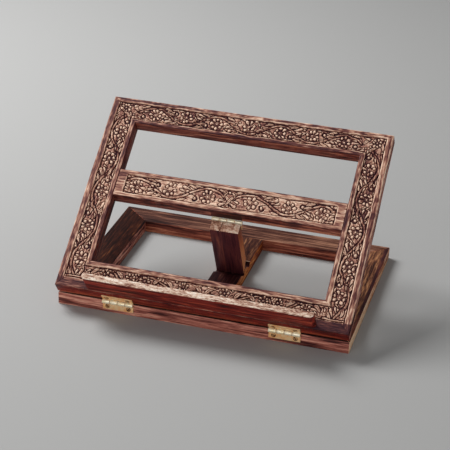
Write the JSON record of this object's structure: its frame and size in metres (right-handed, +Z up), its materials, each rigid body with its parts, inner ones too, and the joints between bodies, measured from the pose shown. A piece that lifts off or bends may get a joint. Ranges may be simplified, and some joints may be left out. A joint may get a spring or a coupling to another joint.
{
  "type": "folding book stand",
  "caption": "Folding tabletop book stand: carved wooden easel frame with a book lip, hinged to a flat base frame and held up by a hinged prop in a notched centre rail.",
  "frame": {"origin": "middle of the base's underside, on the centre rail, where it lies on the table", "axes": "+X across the stand to the reader's right, +Y from the reader to the back, +Z up"},
  "size_m": [0.3, 0.243, 0.1633],
  "materials": {
    "base_wood": "satin",
    "easel_wood": "matte",
    "lip_wood": "satin",
    "prop_wood": "satin",
    "spline_wood": "matte",
    "brass": "polished",
    "screw_brass": "satin"
  },
  "bodies": {
    "base": {"front_rail": "base_wood", "right_rail": "base_wood", "back_rail": "base_wood", "left_rail": "base_wood", "centre_rail": "base_wood", "base_spline_front_left": "spline_wood", "base_spline_front_right": "spline_wood", "base_spline_back_right": "spline_wood", "base_spline_back_left": "spline_wood", "left_hinge_lower_leaf": "brass", "left_hinge_lower_screw_a": "screw_brass", "left_hinge_lower_screw_b": "screw_brass", "left_hinge_pin": "screw_brass", "right_hinge_lower_leaf": "brass", "right_hinge_lower_screw_a": "screw_brass", "right_hinge_lower_screw_b": "screw_brass", "right_hinge_pin": "screw_brass"},
    "easel": {"lower_rail": "easel_wood", "right_stile": "easel_wood", "top_rail": "easel_wood", "left_stile": "easel_wood", "mid_rail": "easel_wood", "book_lip": "lip_wood", "easel_spline_front_left": "spline_wood", "easel_spline_front_right": "spline_wood", "easel_spline_back_right": "spline_wood", "easel_spline_back_left": "spline_wood", "left_hinge_upper_leaf": "brass", "left_hinge_upper_screw_a": "screw_brass", "left_hinge_upper_screw_b": "screw_brass", "right_hinge_upper_leaf": "brass", "right_hinge_upper_screw_a": "screw_brass", "right_hinge_upper_screw_b": "screw_brass", "prop_hinge_fixed_leaf": "brass", "prop_hinge_fixed_screw_a": "screw_brass", "prop_hinge_fixed_screw_b": "screw_brass", "prop_hinge_pin": "screw_brass"},
    "prop": {"prop": "prop_wood", "prop_hinge_moving_leaf": "brass", "prop_hinge_moving_screw_a": "screw_brass", "prop_hinge_moving_screw_b": "screw_brass"}
  },
  "joints": [
    {"name": "easel_tilt", "type": "hinge", "parent": "base", "child": "easel", "pos_m": [0, -0.1116, 0.013], "axis": [1, 0, 0], "range_deg": [0, 70.6]},
    {"name": "prop_swing", "type": "hinge", "parent": "easel", "child": "prop", "pos_m": [0, -0.02295, 0.07914], "axis": [1, 0, 0], "range_deg": [-81.3, 0]}
  ],
  "couplings": [
    {"joint": "prop_swing", "follows": "easel_tilt", "ratio": -1.15}
  ]
}
